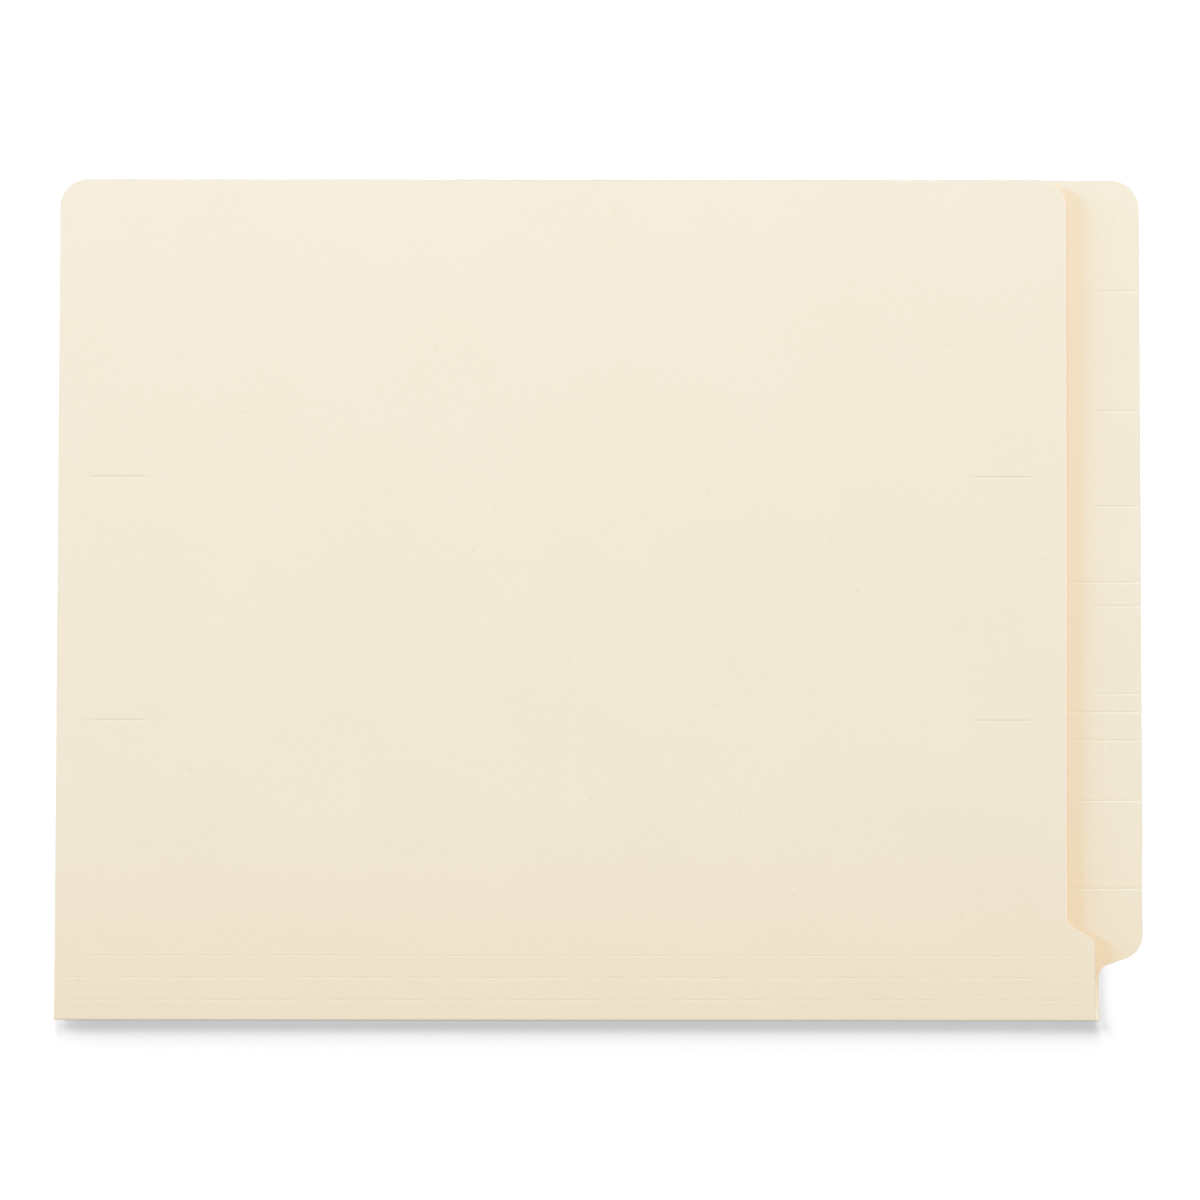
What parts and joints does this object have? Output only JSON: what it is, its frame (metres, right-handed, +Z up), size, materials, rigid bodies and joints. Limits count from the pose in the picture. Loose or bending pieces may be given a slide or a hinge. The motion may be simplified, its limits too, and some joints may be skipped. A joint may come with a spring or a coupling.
{
  "type": "end-tab file folder",
  "caption": "Letter-size manila folder lying closed, with an end tab on the back leaf, an undercut front leaf, expansion scores along the fold and fastener slits.",
  "frame": {"origin": "middle of the folder's plan, tab included, on the table it lies on", "axes": "+X along the fold towards the end tab, +Y from the fold to the top edge, +Z up through the front leaf"},
  "size_m": [0.3112, 0.2414, 0.0013],
  "materials": {
    "manila_board": "matte"
  },
  "bodies": {
    "back": {"back_leaf": "manila_board", "fold_crease": "manila_board"},
    "strip_1": {"gusset_strip_1": "manila_board", "score_crease_1": "manila_board"},
    "strip_2": {"gusset_strip_2": "manila_board", "score_crease_2": "manila_board"},
    "strip_3": {"gusset_strip_3": "manila_board", "score_crease_3": "manila_board"},
    "cover": {"front_leaf": "manila_board"}
  },
  "joints": [
    {"name": "cover_open", "type": "hinge", "parent": "back", "child": "strip_1", "pos_m": [0, -0.12037, 0.00098], "axis": [1, 0, 0], "range_deg": [0, 180.2]},
    {"name": "bend_back_1", "type": "hinge", "parent": "strip_1", "child": "strip_2", "pos_m": [0, -0.11498, 0.00072], "axis": [-1, 0, 0], "range_deg": [-60, 0]},
    {"name": "bend_back_2", "type": "hinge", "parent": "strip_2", "child": "strip_3", "pos_m": [0, -0.10868, 0.00058], "axis": [-1, 0, 0], "range_deg": [-60, 0]},
    {"name": "bend_back_3", "type": "hinge", "parent": "strip_3", "child": "cover", "pos_m": [0, -0.10238, 0.00058], "axis": [-1, 0, 0], "range_deg": [-60, 0]}
  ]
}
